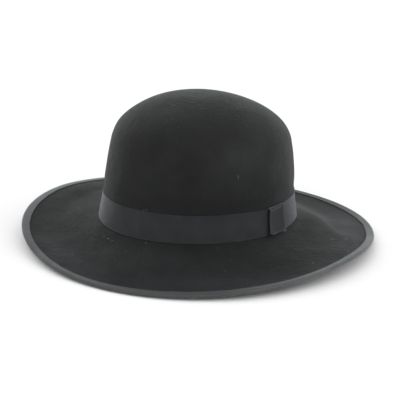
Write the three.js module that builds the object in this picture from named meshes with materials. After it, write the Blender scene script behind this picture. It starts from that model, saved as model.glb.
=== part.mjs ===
// A wide-brim felt hat with a round, open crown. Crown and brim are one blocked piece of felt,
// a ribbon band with a keeper runs round the crown's foot, and a narrower ribbon is folded over
// the brim's edge. Millimetres, +Z up. The hat's front faces -Y and its wearer's left is +X.
import * as THREE from 'three';

// Driving dimensions of the felt
const FOOT_HALF_WIDTH = 86;      // outside of the crown at its foot, across the head
const FOOT_HALF_LENGTH = 103;    // outside of the crown at its foot, front to back
const CROWN_HEIGHT = 114.5;      // foot to tip
const FELT_WALL = 1.8;
const FOOT_RADIUS = 2.5;         // bend from the crown's wall into the brim
const CURL_START = 0.5;          // share of the brim's width where its rim starts to curl

// Driving dimensions of the ribbons
const RIBBON_WALL = 1;           // a folded ribbon with its turned edges
const CLEARANCE = 0.3;           // air between two pieces that lie on each other
const BAND_BOTTOM = 1.2;         // above the crown's foot
const BAND_HEIGHT = 24.6;
const BINDING_REACH = 7.5;       // how far the binding covers the brim, above and below
const KEEPER_FROM = 77.4;        // degrees round from the hat's front
const KEEPER_TO = 90.4;
const KEEPER_RISE = 1;           // how far the keeper's fold stands over the band's top edge
const KEEPER_LIFT = 1.4;         // how far its front edge stands off the band

// How the hat lies on a flat surface: front and back of the brim touch it
const REST_TILT = -2.6;          // degrees about X, the front of the crown lifted
const REST_ROLL = -0.15;         // degrees about Y

// Mesh steps
const AROUND = 60;
const CROWN_STEPS = 15;
const BEND_STEPS = 3;
const BRIM_STEPS = 10;
const NOSE_STEPS = 4;
const KEEPER_STEPS = 6;
const SLOPE_STEP = 0.05;         // half the stretch over which a slope is taken

// Rows of the crown from tip to foot: height as a share of the crown's, girth as a share of the
// foot's, and lean, the shift towards -X and -Y in millimetres
const CROWN_ROWS = [
  { rise: 1.000, girth: 0.000, lean: 5.4 },
  { rise: 0.985, girth: 0.243, lean: 4.6 },
  { rise: 0.940, girth: 0.467, lean: 3.6 },
  { rise: 0.870, girth: 0.657, lean: 2.4 },
  { rise: 0.780, girth: 0.808, lean: 1.4 },
  { rise: 0.680, girth: 0.889, lean: 0.4 },
  { rise: 0.560, girth: 0.924, lean: 0.1 },
  { rise: 0.420, girth: 0.946, lean: 0.0 },
  { rise: 0.330, girth: 0.955, lean: 0.1 },
  { rise: 0.240, girth: 0.959, lean: 0.2 },
  { rise: 0.140, girth: 0.974, lean: 0.1 },
  { rise: 0.060, girth: 0.992, lean: 0.0 },
  { rise: 0.000, girth: 1.000, lean: 0.0 },
];

// Rows of the brim every 30 degrees from the front towards the wearer's left: height of its edge
// over the crown's foot, width from foot to edge, slope of the rim in degrees, up outwards, and how
// far the felt swells or sags at the first, second and third quarter of the way out
const BRIM_ROWS = [
  { edge: -25.6, width: 66.3, rim: 3, first: 0.1, second: 0.6, third: 0.6 },
  { edge: -23.2, width: 69.0, rim: 3, first: 0.7, second: 1.0, third: 1.2 },
  { edge: -15.1, width: 73.6, rim: 3, first: -1.4, second: -2.2, third: -1.4 },
  { edge: -7.3, width: 75.8, rim: 2, first: -3.1, second: -3.4, third: -1.9 },
  { edge: -9.6, width: 73.6, rim: 4, first: 1.1, second: -1.3, third: -0.8 },
  { edge: -10.4, width: 70.2, rim: 7, first: -2.4, second: -3.9, third: -1.9 },
  { edge: -10.4, width: 68.6, rim: 8, first: -0.8, second: -1.2, third: 0.0 },
  { edge: -9.8, width: 70.3, rim: 9, first: 0.0, second: 0.0, third: 0.0 },
  { edge: -5.4, width: 73.7, rim: 11, first: 0.4, second: 1.0, third: 1.2 },
  { edge: -2.7, width: 75.0, rim: 12, first: -0.8, second: 0.2, third: 2.2 },
  { edge: -7.4, width: 72.3, rim: 11, first: -1.6, second: -2.8, third: -2.0 },
  { edge: -19.6, width: 67.8, rim: 6, first: -2.4, second: -2.6, third: -0.9 },
];

// The middle columns of those rows, from the foot to the edge
const WAVE_COLUMNS = ['first', 'second', 'third'];

// A soft fold on the wearer's left: a ridge that leaves the foot behind the keeper and swings
// forwards on its way out, its back side steeper. Rows of its place, in degrees from the front,
// at even shares of the brim's width from the foot to the edge
const FOLD_ROWS = [{ at: 141.7 }, { at: 130.4 }, { at: 111.9 }, { at: 108.1 }, { at: 103.5 }];
const FOLD_HEIGHT = 1.75;
const FOLD_FRONT = 39;           // degrees that its front side takes
const FOLD_BACK = 10.5;          // degrees that its back side takes
const FOLD_CREST = 0.1;          // how round its ridge is, as a share of its reach
const FOLD_SWELL = 0.9;          // below one, its highest part lies nearer the foot
const FOLD_FADE = 1.3;           // how gently it fades out at the foot and at the edge

// A smooth curve through one column of a table of rows, at a place counted in rows
function column(rows, name, place, closed) {
  const last = rows.length - 1;
  const row = Math.floor(closed ? place : Math.min(place, last - 1e-9));
  const t = place - row;
  const at = (i) => {
    if (closed) return rows[(i + rows.length) % rows.length][name];
    if (i < 0) return 2 * rows[0][name] - rows[1][name];
    if (i > last) return 2 * rows[last][name] - rows[last - 1][name];
    return rows[i][name];
  };
  const [a, b, c, d] = [at(row - 1), at(row), at(row + 1), at(row + 2)];
  const linear = (c - a) / 2;
  const square = a - 2.5 * b + 2 * c - 0.5 * d;
  const cubic = (3 * (b - c) + d - a) / 2;
  return b + t * (linear + t * (square + t * cubic));
}

// The oval of the crown's foot at an angle from the front: a point and its outward normal
function oval(angle) {
  const x = FOOT_HALF_WIDTH * Math.sin(angle);
  const y = -FOOT_HALF_LENGTH * Math.cos(angle);
  const normal = new THREE.Vector2(x / FOOT_HALF_WIDTH ** 2, y / FOOT_HALF_LENGTH ** 2);
  const reach = 1 / normal.length();
  return { x, y, normal: normal.normalize(), reach };
}

// A section point holds girth and lean, as in the crown's rows, and its place off the foot's
// oval: out along the oval's normal and up. This puts it in space.
function place(point, angle) {
  const foot = oval(angle);
  const x = point.girth * foot.x + point.out * foot.normal.x - point.lean;
  const y = point.girth * foot.y + point.out * foot.normal.y - point.lean;
  return new THREE.Vector3(x, y, point.up);
}

function crownPoint(row) {
  return {
    girth: Math.max(column(CROWN_ROWS, 'girth', row), 0),
    lean: column(CROWN_ROWS, 'lean', row),
    up: CROWN_HEIGHT * column(CROWN_ROWS, 'rise', row),
    out: 0,
  };
}

// The crown's wall at a height, found on its rows by halving
function wallPoint(up) {
  let [low, high] = [0, CROWN_ROWS.length - 1];
  for (let i = 0; i < 40; i += 1) {
    const middle = (low + high) / 2;
    if (crownPoint(middle).up > up) low = middle;
    else high = middle;
  }
  return crownPoint(low);
}

// The fold's height at an angle and a share of the brim's width
function foldHeight(angle, share) {
  const ridge = column(FOLD_ROWS, 'at', share * (FOLD_ROWS.length - 1));
  const aside = THREE.MathUtils.radToDeg(angle) - ridge;
  const reach = aside < 0 ? FOLD_FRONT : FOLD_BACK;
  const across = Math.max(1 - Math.hypot(aside / reach, FOLD_CREST), 0) ** 2;
  return FOLD_HEIGHT * across * Math.sin(Math.PI * share ** FOLD_SWELL) ** FOLD_FADE;
}

// The brim's section at an angle: straight from the foot, then curling towards the rim's slope,
// with its waves and the fold on top
function brimSection(angle) {
  const row = ((angle / (2 * Math.PI)) * BRIM_ROWS.length) % BRIM_ROWS.length;
  const edge = column(BRIM_ROWS, 'edge', row, true);
  const width = column(BRIM_ROWS, 'width', row, true);
  const rim = Math.tan(THREE.MathUtils.degToRad(column(BRIM_ROWS, 'rim', row, true)));
  const span = Math.sqrt(width ** 2 - edge ** 2);
  const curl = (rim * span - edge) / (2 / (1 - CURL_START) - 1);
  const root = (edge - curl) / span;
  const middle = WAVE_COLUMNS.map((name) => ({ up: column(BRIM_ROWS, name, row, true) }));
  const waves = [{ up: 0 }, ...middle, { up: 0 }];
  const height = (out) => {
    const share = Math.min(Math.max(out / span, 0), 1);
    const bend = Math.max(out / span - CURL_START, 0) / (1 - CURL_START);
    const wave = column(waves, 'up', share * (waves.length - 1));
    return root * out + curl * bend ** 2 + wave + foldHeight(angle, share);
  };
  const slope = (out) => (height(out + SLOPE_STEP) - height(out - SLOPE_STEP)) / (2 * SLOPE_STEP);
  return { span, height, slope };
}

// A point of the brim, moved off its upper face along the section's normal
function brimPoint(section, out, off) {
  const slope = section.slope(out);
  const length = Math.hypot(1, slope);
  return {
    girth: 1,
    lean: 0,
    out: out - (off * slope) / length,
    up: section.height(out) + off / length,
  };
}

// Upper face of the felt from the crown's tip to the middle of the binding's nose
function feltFace(angle, section) {
  const fall = Math.atan(section.slope(FOOT_RADIUS));
  const bendUp = (FOOT_RADIUS * (1 + Math.sin(fall))) / Math.cos(fall);
  const bendOut = FOOT_RADIUS * (1 + Math.sin(fall));
  const lastRow = CROWN_ROWS.length - 1;
  const face = [];
  for (let i = 0; i < CROWN_STEPS; i += 1) {
    face.push(crownPoint((lastRow * i) / CROWN_STEPS));
  }
  for (let i = 0; i <= BEND_STEPS; i += 1) {
    const turn = Math.PI + ((Math.PI / 2 + fall) * i) / BEND_STEPS;
    const up = bendUp + FOOT_RADIUS * Math.sin(turn);
    const out = FOOT_RADIUS * (1 + Math.cos(turn));
    face.push({ ...wallPoint(Math.max(up, 0)), out, up });
  }
  const end = feltEnd(section);
  for (let i = 1; i <= BRIM_STEPS; i += 1) {
    face.push(brimPoint(section, bendOut + ((end - bendOut) * i) / BRIM_STEPS, 0));
  }
  return face;
}

// Where the felt stops inside the binding
function feltEnd(section) {
  return section.span - FELT_WALL / 2 - CLEARANCE - RIBBON_WALL;
}

// The other face of the felt: each point moved by the wall against the face's own normal
function backFace(face, angle) {
  const reach = oval(angle).reach;
  const run = (p) => p.girth * reach + p.out;
  return face.map((point, i) => {
    if (i === 0) return { ...point, up: point.up - FELT_WALL };
    const before = face[i - 1];
    const after = face[Math.min(i + 1, face.length - 1)];
    const along = new THREE.Vector2(run(after) - run(before), after.up - before.up).normalize();
    return {
      ...point,
      out: point.out + FELT_WALL * along.y,
      up: point.up - FELT_WALL * along.x,
    };
  });
}

// A closed section for every angle, swept round by a lathe whose points are then put in place
function sweep(sectionAt) {
  const count = sectionAt(0).length;
  const template = sectionAt(0).map((point) => {
    const x = Math.max(point.girth * FOOT_HALF_LENGTH + point.out, 0);
    return new THREE.Vector2(point.girth === 0 ? 0 : x, point.up);
  });
  const geometry = new THREE.LatheGeometry(template, AROUND);
  const positions = geometry.attributes.position;
  for (let i = 0; i <= AROUND; i += 1) {
    const angle = (2 * Math.PI * ((AROUND - i) % AROUND)) / AROUND;
    sectionAt(angle).forEach((point, j) => {
      const { x, y, z } = place(point, angle);
      positions.setXYZ(i * count + j, x, y, z);
    });
  }
  geometry.computeVertexNormals();
  return geometry;
}

function closeLoop(points) {
  return [...points, { ...points[0] }];
}

// Crown and brim: out along the upper face and back along the lower one
function feltBody() {
  return sweep((angle) => {
    const section = brimSection(angle);
    const face = feltFace(angle, section);
    const back = backFace(face, angle);
    const edge = brimPoint(section, feltEnd(section) + FELT_WALL * 0.4, -FELT_WALL / 2);
    return [...face, edge, ...back.reverse()];
  });
}

// The band stands on the brim and follows the crown's wall
function hatBand() {
  const heights = [0, 0.33, 0.67, 1].map((share) => BAND_BOTTOM + BAND_HEIGHT * share);
  return sweep(() => {
    const inside = heights.map((up) => ({ ...wallPoint(up), up, out: CLEARANCE }));
    const outside = inside.map((point) => ({ ...point, out: CLEARANCE + RIBBON_WALL }));
    return closeLoop([...outside.reverse(), ...inside]);
  });
}

// The binding: a U over the brim's edge, its two legs parallel to the felt
function brimBinding() {
  return sweep((angle) => {
    const section = brimSection(angle);
    const nose = feltEnd(section);
    const root = section.span - BINDING_REACH;
    const track = (radius) => {
      const points = [];
      for (const out of [root, (root + nose) / 2]) {
        points.push(brimPoint(section, out, radius - FELT_WALL / 2));
      }
      const slope = Math.atan(section.slope(nose));
      const middle = brimPoint(section, nose, -FELT_WALL / 2);
      for (let i = 0; i <= NOSE_STEPS; i += 1) {
        const turn = slope + Math.PI / 2 - (Math.PI * i) / NOSE_STEPS;
        points.push({
          ...middle,
          out: middle.out + radius * Math.cos(turn),
          up: middle.up + radius * Math.sin(turn),
        });
      }
      for (const out of [(root + nose) / 2, root]) {
        points.push(brimPoint(section, out, -radius - FELT_WALL / 2));
      }
      return points;
    };
    const inner = FELT_WALL / 2 + CLEARANCE;
    return closeLoop([...track(inner + RIBBON_WALL), ...track(inner).reverse()]);
  });
}

// The keeper: a short ribbon laid upright over the band, folded over the band's top edge, its
// front edge standing a little proud
function bandKeeper() {
  const inside = CLEARANCE + RIBBON_WALL + CLEARANCE;
  const outside = inside + RIBBON_WALL;
  const bottom = BAND_BOTTOM - CLEARANCE * 2;
  const top = BAND_BOTTOM + BAND_HEIGHT + CLEARANCE;
  const hook = new THREE.Shape([
    new THREE.Vector2(inside, bottom),
    new THREE.Vector2(outside, bottom),
    new THREE.Vector2(outside, top + KEEPER_RISE),
    new THREE.Vector2(CLEARANCE, top + KEEPER_RISE),
    new THREE.Vector2(CLEARANCE, top),
    new THREE.Vector2(inside, top),
  ]);
  const geometry = new THREE.ExtrudeGeometry(hook, {
    depth: 1, steps: KEEPER_STEPS, bevelEnabled: false,
  });
  const positions = geometry.attributes.position;
  for (let i = 0; i < positions.count; i += 1) {
    const share = 1 - positions.getZ(i);
    const up = positions.getY(i);
    const angle = THREE.MathUtils.degToRad(KEEPER_FROM + (KEEPER_TO - KEEPER_FROM) * share);
    const proud = positions.getX(i) > CLEARANCE ? KEEPER_LIFT * (1 - share) ** 2 : 0;
    const point = { ...wallPoint(up), up, out: positions.getX(i) + proud };
    const { x, y, z } = place(point, angle);
    positions.setXYZ(i, x, y, z);
  }
  geometry.computeVertexNormals();
  return geometry;
}

function mesh(name, geometry, colour, roughness) {
  const material = new THREE.MeshStandardMaterial({ color: colour, roughness, metalness: 0 });
  const piece = new THREE.Mesh(geometry, material);
  piece.name = name;
  return piece;
}

const hat = new THREE.Group();
hat.add(mesh('felt_body', feltBody(), 0x262829, 0.95));
hat.add(mesh('hat_band', hatBand(), 0x2b3033, 0.7));
hat.add(mesh('band_keeper', bandKeeper(), 0x2b3033, 0.7));
hat.add(mesh('brim_binding', brimBinding(), 0x3a3f42, 0.7));

// Lay the hat on its brim, with the middle of its box over the origin
hat.rotation.set(THREE.MathUtils.degToRad(REST_TILT), THREE.MathUtils.degToRad(REST_ROLL), 0);
hat.updateMatrixWorld(true);
const box = new THREE.Box3().setFromObject(hat, true);
const middle = box.getCenter(new THREE.Vector3());
hat.position.set(-middle.x, -middle.y, -box.min.z);

const part = new THREE.Group();
part.add(hat);

export default part;
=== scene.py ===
# %% [markdown]
# # A wide-brim felt hat with a round, open crown
# A felt hat has few parts: a felt body, blocked from one piece, a ribbon round the foot of its
# crown, a short upright ribbon that keeps the ends of the band, and a binding over the brim's
# edge. All of its charm is in soft curves and in cloth, so this lesson bends every piece from the
# same few measured curves and then spends its time on nap, ribs, sheen and lint.

# %% Load the fixed frame
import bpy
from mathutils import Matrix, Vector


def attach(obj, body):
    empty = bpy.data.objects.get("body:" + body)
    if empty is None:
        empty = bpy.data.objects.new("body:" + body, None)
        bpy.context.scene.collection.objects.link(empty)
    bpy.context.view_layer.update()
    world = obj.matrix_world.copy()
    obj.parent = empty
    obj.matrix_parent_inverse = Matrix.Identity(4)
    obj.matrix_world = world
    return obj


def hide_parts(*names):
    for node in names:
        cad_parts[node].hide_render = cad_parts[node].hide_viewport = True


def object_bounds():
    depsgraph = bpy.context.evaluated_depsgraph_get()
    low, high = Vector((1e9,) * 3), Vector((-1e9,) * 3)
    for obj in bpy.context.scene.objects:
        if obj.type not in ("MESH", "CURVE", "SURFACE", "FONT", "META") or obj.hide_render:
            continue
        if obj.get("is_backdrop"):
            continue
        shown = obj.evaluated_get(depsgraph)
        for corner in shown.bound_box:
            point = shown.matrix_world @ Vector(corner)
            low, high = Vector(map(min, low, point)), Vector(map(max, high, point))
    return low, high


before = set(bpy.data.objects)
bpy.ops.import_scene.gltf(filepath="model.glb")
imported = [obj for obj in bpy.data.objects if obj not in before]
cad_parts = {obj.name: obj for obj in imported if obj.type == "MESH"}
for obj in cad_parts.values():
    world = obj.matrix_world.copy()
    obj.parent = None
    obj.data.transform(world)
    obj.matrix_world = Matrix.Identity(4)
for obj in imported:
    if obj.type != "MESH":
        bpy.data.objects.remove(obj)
cad_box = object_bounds()
print("CAD box", [tuple(round(v, 4) for v in corner) for corner in cad_box])

# %% Modules and units
import functools
import math
import random

import bmesh
import bpy
from mathutils import Matrix, Vector, noise

MM = 0.001
random.seed(57)

# %% [markdown]
# ## The form of the hat
# A hatter describes a block by a few girths and heights. The lists below do the same: each column
# is read with a smooth curve through its values, so a dozen rows give a crown without a corner. One
# could sculpt the form by hand, but curves with names can be checked against the real thing.
# Lengths are millimetres in the hat's own frame: the crown's foot lies at height 0, the front
# faces -Y and the wearer's left is +X.

# %% Measured curves
FOOT_HALF_WIDTH = 86.0
FOOT_HALF_LENGTH = 103.0
CROWN_HEIGHT = 114.5
FELT_WALL = 1.8
FOOT_RADIUS = 2.5
CURL_START = 0.5

# crown, from tip to foot: height and girth as shares, and how far each ring leans forwards and to
# the wearer's right
CROWN_RISE = (1.0, 0.985, 0.94, 0.87, 0.78, 0.68, 0.56, 0.42, 0.33, 0.24, 0.14, 0.06, 0.0)
CROWN_GIRTH = (
    0.0, 0.243, 0.467, 0.657, 0.808, 0.889, 0.924, 0.947, 0.9575, 0.9605, 0.974, 0.992, 1.0)
CROWN_LEAN = (5.4, 4.6, 3.6, 2.4, 1.4, 0.4, 0.1, 0.0, 0.1, 0.2, 0.1, 0.0, 0.0)
LAST_ROW = len(CROWN_RISE) - 1
BEND_ROW = 11.45                  # where the wall ends and the bend into the brim begins

# brim, every 30 degrees from the front towards the wearer's left: height of the edge, width from
# foot to edge, and slope of the rim in degrees
BRIM_EDGE = (-25.6, -23.2, -15.1, -7.3, -9.6, -10.4, -10.4, -9.8, -5.4, -2.7, -7.4, -19.6)
BRIM_WIDTH = (66.3, 69.0, 73.6, 75.8, 73.6, 70.2, 68.6, 70.3, 73.7, 75.0, 72.3, 67.8)
BRIM_RIM = (3, 3, 3, 2, 4, 7, 8, 9, 11, 12, 11, 6)
# how far the felt sags or swells between foot and edge: a quarter, half and three quarters out
BRIM_WAVES = (
    (0.1, 0.7, -1.4, -3.1, 1.1, -2.4, -0.8, 0.0, 0.4, -0.8, -1.6, -2.4),
    (0.6, 1.0, -2.2, -3.4, -1.3, -3.9, -1.2, 0.0, 1.0, 0.2, -2.8, -2.6),
    (0.6, 1.2, -1.4, -1.9, -0.8, -1.9, 0.0, 0.0, 1.2, 2.2, -2.0, -0.9),
)

# the fold behind the keeper: its ridge in degrees, at even shares of the brim's width
FOLD_AT = (141.7, 130.4, 111.9, 108.1, 103.5)
FOLD_HEIGHT = 1.75
FOLD_FRONT, FOLD_BACK = 39, 10.5
FOLD_CREST = 0.1                  # how round its ridge is, as a share of its reach
FOLD_SWELL, FOLD_FADE = 0.9, 1.3  # where along its ridge it is highest, and how fast it dies away
SLOPE_STEP = 0.05                 # half the stretch over which a slope is taken
HALVINGS = 40                     # steps of the search for a height on the crown's wall


def smooth(column, place, closed=False):
    """A smooth curve through a column's values, read at a place counted in rows."""
    last = len(column) - 1
    row = math.floor(place if closed else min(place, last - 1e-9))
    t = place - row

    def at(i):
        if closed:
            return column[i % len(column)]
        if i < 0:
            return 2 * column[0] - column[1]
        return column[i] if i <= last else 2 * column[last] - column[last - 1]

    a, b, c, d = (at(row + i) for i in (-1, 0, 1, 2))
    bend = t * (3 * (b - c) + d - a) / 2
    return b + t * ((c - a) / 2 + t * (a - 2.5 * b + 2 * c - 0.5 * d + bend))


print("columns:", len(CROWN_RISE), "crown rows,", len(BRIM_EDGE), "brim rows")

# %% [markdown]
# Felt is never quite even. Soft lumps under half a millimetre let the light wander over the
# crown, and a few shallow dents sit where hands have held the brim. They are part of the form
# itself, so that ribbons laid on the felt later follow them too. Paler and darker patches of
# painted sheen and painted shade are a short table as well, because they belong to places on the
# hat, and they go into the felt's colour as an attribute of its points.

# %% Folds, dents, lumps, painted sheen and painted shade
# degrees from the front, share of the brim's width, reach round and outwards, height
DENTS = (
    (319, 0.38, 9, 6, -0.35),
    (331, 0.26, 7, 4, -0.3),
    (81, 0.33, 3, 9, 0.22),
    (86, 0.5, 3, 10, 0.22),
    (296, 0.3, 14, 9, 0.4),
)
DENT_RADIUS, DENT_WIDTH = 125, 70    # middle radius and width of the brim, for a dent's reach
LUMP_CROWN, LUMP_BRIM = 0.3, 0.35
LUMPS_ROUND, LUMP_LENGTH = 2.6, 32   # lumps round the hat, and their length along the felt
SMALL_LUMPS, SMALL_LUMP_SHARE = 2.7, 0.35
LUMP_START, LUMP_TIP = 8, 2          # they fade in over the wall's first 8 mm, and out at the tip
BRIM_LUMP_FADE = 5                   # a fifth of the brim's width does the same there
BRIM_LUMPS_AT = 200                  # keeps the brim's lumps apart from the crown's

# painted sheen and painted shade in the felt's colour: degrees from the front, place on the skin
# (0 to 1 is the crown from tip to foot, 1 to 2 the brim), reach round in degrees, reach in place,
# and how much paler the painted sheen makes the felt there, with a minus sign for painted shade
DARKEST_PAINTED_SHADE = -0.85
PAINTED_LIGHT_PATCHES = (
    (10, 1.3, 30, 0.2, 0.45), (35, 1.7, 20, 0.2, 0.8), (125, 1.75, 25, 0.2, 1.5),
    (125, 1.35, 25, 0.1, 1.0), (320, 1.75, 20, 0.15, 0.8), (340, 1.6, 25, 0.2, 0.7),
    (270, 1.6, 30, 0.15, -0.4), (100, 1.1, 20, 0.2, -0.5), (10, 0.2, 30, 0.05, 0.6),
    (315, 0.2, 30, 0.1, 0.5), (60, 0.45, 20, 0.15, 0.7),
)


def apart(angle, degrees):
    """Signed difference between an angle and one in degrees, in degrees."""
    return (math.degrees(angle) - degrees + 180) % 360 - 180


def fold_height(angle, share):
    inside = min(max(share, 0), 1)
    aside = apart(angle, smooth(FOLD_AT, inside * (len(FOLD_AT) - 1)))
    off = math.hypot(aside / (FOLD_FRONT if aside < 0 else FOLD_BACK), FOLD_CREST)
    along = math.sin(math.pi * inside**FOLD_SWELL) ** FOLD_FADE
    return FOLD_HEIGHT * max(1 - off, 0) ** 2 * along


def dent_height(angle, share):
    total = 0
    for degrees, centre, around, outwards, height in DENTS:
        side = math.radians(apart(angle, degrees)) * DENT_RADIUS / around
        out = (share - centre) * DENT_WIDTH / outwards
        total += height * math.exp(-side * side - out * out)
    return total


def painted_sheen_and_shade(angle, place):
    """How much paler painted sheen makes the felt at a place, as a share; painted shade is below 0.
    """
    total = 0
    for degrees, centre, around, outwards, gain in PAINTED_LIGHT_PATCHES:
        side, out = apart(angle, degrees) / around, (place - centre) / outwards
        total += gain * math.exp(-side * side - out * out)
    return max(total, DARKEST_PAINTED_SHADE)


def lump(angle, along, size):
    """Soft unevenness of felt, the same every time."""
    x, y = math.cos(angle) * LUMPS_ROUND, math.sin(angle) * LUMPS_ROUND
    at = Vector((x, y, along / LUMP_LENGTH))
    return size * (noise.noise(at) + SMALL_LUMP_SHARE * noise.noise(at * SMALL_LUMPS))


# %% Crown and brim as functions
def foot(angle):
    """The oval of the crown's foot: a point and its outward normal."""
    x, y = FOOT_HALF_WIDTH * math.sin(angle), -FOOT_HALF_LENGTH * math.cos(angle)
    nx, ny = x / FOOT_HALF_WIDTH**2, y / FOOT_HALF_LENGTH**2
    length = math.hypot(nx, ny)
    return x, y, nx / length, ny / length


@functools.lru_cache(None)
def crown_row(row):
    """Girth, lean and height of the crown at a row."""
    girth = max(smooth(CROWN_GIRTH, row), 0)
    return girth, smooth(CROWN_LEAN, row), CROWN_HEIGHT * smooth(CROWN_RISE, row)


@functools.lru_cache(None)
def wall_row(up):
    """Girth and lean of the crown's wall at a height, found by halving."""
    low, high = 0.0, float(LAST_ROW)
    for _ in range(HALVINGS):
        middle = (low + high) / 2
        low, high = (middle, high) if crown_row(middle)[2] > up else (low, middle)
    return crown_row(low)[:2]


@functools.lru_cache(None)
def brim_row(angle):
    """Span of the brim at an angle, its slope at the foot, its curl and its waves."""
    place = angle / math.tau * len(BRIM_EDGE)
    edge, width, rim = (smooth(c, place, True) for c in (BRIM_EDGE, BRIM_WIDTH, BRIM_RIM))
    span = math.sqrt(width**2 - edge**2)
    curl = (math.tan(math.radians(rim)) * span - edge) / (2 / (1 - CURL_START) - 1)
    waves = (0, *(smooth(column, place, True) for column in BRIM_WAVES), 0)
    return span, (edge - curl) / span, curl, waves


def brim_height(angle, out):
    span, root, curl, waves = brim_row(angle)
    share = out / span
    wave = smooth(waves, 4 * min(max(share, 0), 1))
    bend = max(share - CURL_START, 0) / (1 - CURL_START)
    fade = min(max(share * BRIM_LUMP_FADE, 0), 1)
    uneven = dent_height(angle, share) + lump(angle, out + BRIM_LUMPS_AT, LUMP_BRIM) * fade
    return root * out + curl * bend**2 + wave + fold_height(angle, share) + uneven


def in_place(angle, girth, lean, out, up):
    """A point of a section, put in the hat's frame."""
    x, y, nx, ny = foot(angle)
    return Vector((girth * x + out * nx - lean, girth * y + out * ny - lean, up))


def wall_point(angle, up, out):
    """A point off the crown's wall."""
    girth, lean = wall_row(round(up, 4))
    bulge = lump(angle, up, LUMP_CROWN) * min(girth * LUMP_TIP, 1) * min(max(up / LUMP_START, 0), 1)
    return in_place(angle, girth, lean, out + bulge, up)


def brim_slope(angle, out):
    rise = brim_height(angle, out + SLOPE_STEP) - brim_height(angle, out - SLOPE_STEP)
    return rise / (2 * SLOPE_STEP)


def brim_point(angle, out, off):
    """A point off the brim's upper face, moved along the section's normal."""
    slope = brim_slope(angle, out)
    length = math.hypot(1, slope)
    side = out - off * slope / length
    return in_place(angle, 1, 0, side, brim_height(angle, out) + off / length)


widths = [brim_row(math.radians(30 * i))[0] for i in range(12)]
print("brim spans from %.1f to %.1f mm" % (min(widths), max(widths)))

# %% [markdown]
# ## Seat and camera
# The hat stands on the front and the back of its brim, which tips it a little. Every piece goes
# through the same matrix, so nothing is placed by hand. The camera is a long lens at three
# quarters from the front, a little above the brim: the view that shows crown, band and both ends
# of the brim at once.

# %% Seat the hat and place the camera
REST_TILT, REST_ROLL = math.radians(-2.6), math.radians(-0.15)
SEAT_AT = (-0.00028, -0.0025, 0.0212)
SEAT = (
    Matrix.Translation(SEAT_AT)
    @ Matrix.Rotation(REST_TILT, 4, "X")
    @ Matrix.Rotation(REST_ROLL, 4, "Y")
)
CAMERA_AT = Vector((0.6148, -1.0519, 0.4283))
CAMERA_AIM = Vector((0.0016, -0.0043, 0.0351))
CAMERA_ROLL = math.radians(1.55)
CAMERA_SENSOR, CAMERA_LENS = 36, 124.56


def seated(point):
    """From the hat's millimetres to the frame's metres."""
    return SEAT @ (point * MM)


camera_data = bpy.data.cameras.new("photo_camera")
camera_data.sensor_width, camera_data.lens = CAMERA_SENSOR, CAMERA_LENS
camera = bpy.data.objects.new("photo_camera", camera_data)
bpy.context.scene.collection.objects.link(camera)
look = (CAMERA_AIM - CAMERA_AT).to_track_quat("-Z", "Y").to_matrix().to_4x4()
camera.matrix_world = Matrix.Translation(CAMERA_AT) @ look @ Matrix.Rotation(CAMERA_ROLL, 4, "Z")
bpy.context.scene.camera = camera
bpy.context.scene.view_settings.view_transform = "Standard"
print("camera %.2f m from its aim" % (CAMERA_AIM - CAMERA_AT).length)

# %% [markdown]
# ## Floor and light
# Black felt shows its shape only through sheen along its outlines, and sheen needs light from all
# round. White surroundings do most of the work. Two weak soft boxes at the sides and a wide one
# in front and above lift the band and the near brim.

# %% Floor, surroundings and soft boxes
FLOOR_RADIUS = 6.0
FLOOR_SIDES = 96
WORLD_LIGHT = 1.0
# name, position, width, height, watts
SOFT_BOXES = (
    ("softbox_right", (1.7, 0.5, 0.9), 1.6, 1.2, 8),
    ("softbox_left", (-1.6, -0.2, 0.8), 1.4, 1.2, 3),
    ("softbox_front", (0.3, -2.2, 1.6), 2.0, 1.2, 12),
)


def new_object(name, bm):
    """A finished bmesh as an object at the origin."""
    mesh = bpy.data.meshes.new(name)
    bm.to_mesh(mesh)
    bm.free()
    made = bpy.data.objects.new(name, mesh)
    bpy.context.scene.collection.objects.link(made)
    return made


bm = bmesh.new()
bmesh.ops.create_circle(bm, cap_ends=True, segments=FLOOR_SIDES, radius=FLOOR_RADIUS)
floor = new_object("floor", bm)
floor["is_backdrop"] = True

world = bpy.data.worlds.new("white_room")
world.use_nodes = True
backdrop = world.node_tree.nodes["Background"]
backdrop.inputs["Color"].default_value = (1, 1, 1, 1)
backdrop.inputs["Strength"].default_value = WORLD_LIGHT
bpy.context.scene.world = world

for name, place, width, height, watts in SOFT_BOXES:
    lamp = bpy.data.lights.new(name, "AREA")
    lamp.shape = "RECTANGLE"
    lamp.size, lamp.size_y, lamp.energy = width, height, watts
    box = bpy.data.objects.new(name, lamp)
    turn = (CAMERA_AIM - Vector(place)).to_track_quat("-Z", "Y").to_matrix().to_4x4()
    box.matrix_world = Matrix.Translation(place) @ turn
    bpy.context.scene.collection.objects.link(box)
print(len(SOFT_BOXES), "soft boxes")

# %% [markdown]
# ## Blocking the felt
# A felt body starts as a flat, round hood that is steamed and pulled over a wooden block. The
# mesh is made the same way: a straight row of points is spun into a flat disc, and then every
# point of the disc is pulled to its place on the hat. Modelling half a profile and turning it on
# a lathe would give a round hat with a level brim, and this one is oval and droops. The felt's
# wall is added last, by a Solidify modifier, because a single sheet is easier to bend.

# %% Spinning and pulling
AROUND = 240


def spun(points, closed, steps=AROUND):
    """A row of (radius, height) points, spun a full turn about Z."""
    bm = bmesh.new()
    verts = [bm.verts.new((radius, 0, height)) for radius, height in points]
    pairs = list(zip(verts, verts[1:])) + ([(verts[-1], verts[0])] if closed else [])
    edges = [bm.edges.new(pair) for pair in pairs]
    bmesh.ops.spin(
        bm, geom=verts + edges, cent=(0, 0, 0), axis=(0, 0, 1), angle=math.tau,
        steps=steps, use_merge=True,
    )
    bmesh.ops.remove_doubles(bm, verts=bm.verts, dist=0.001)
    return bm


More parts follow.
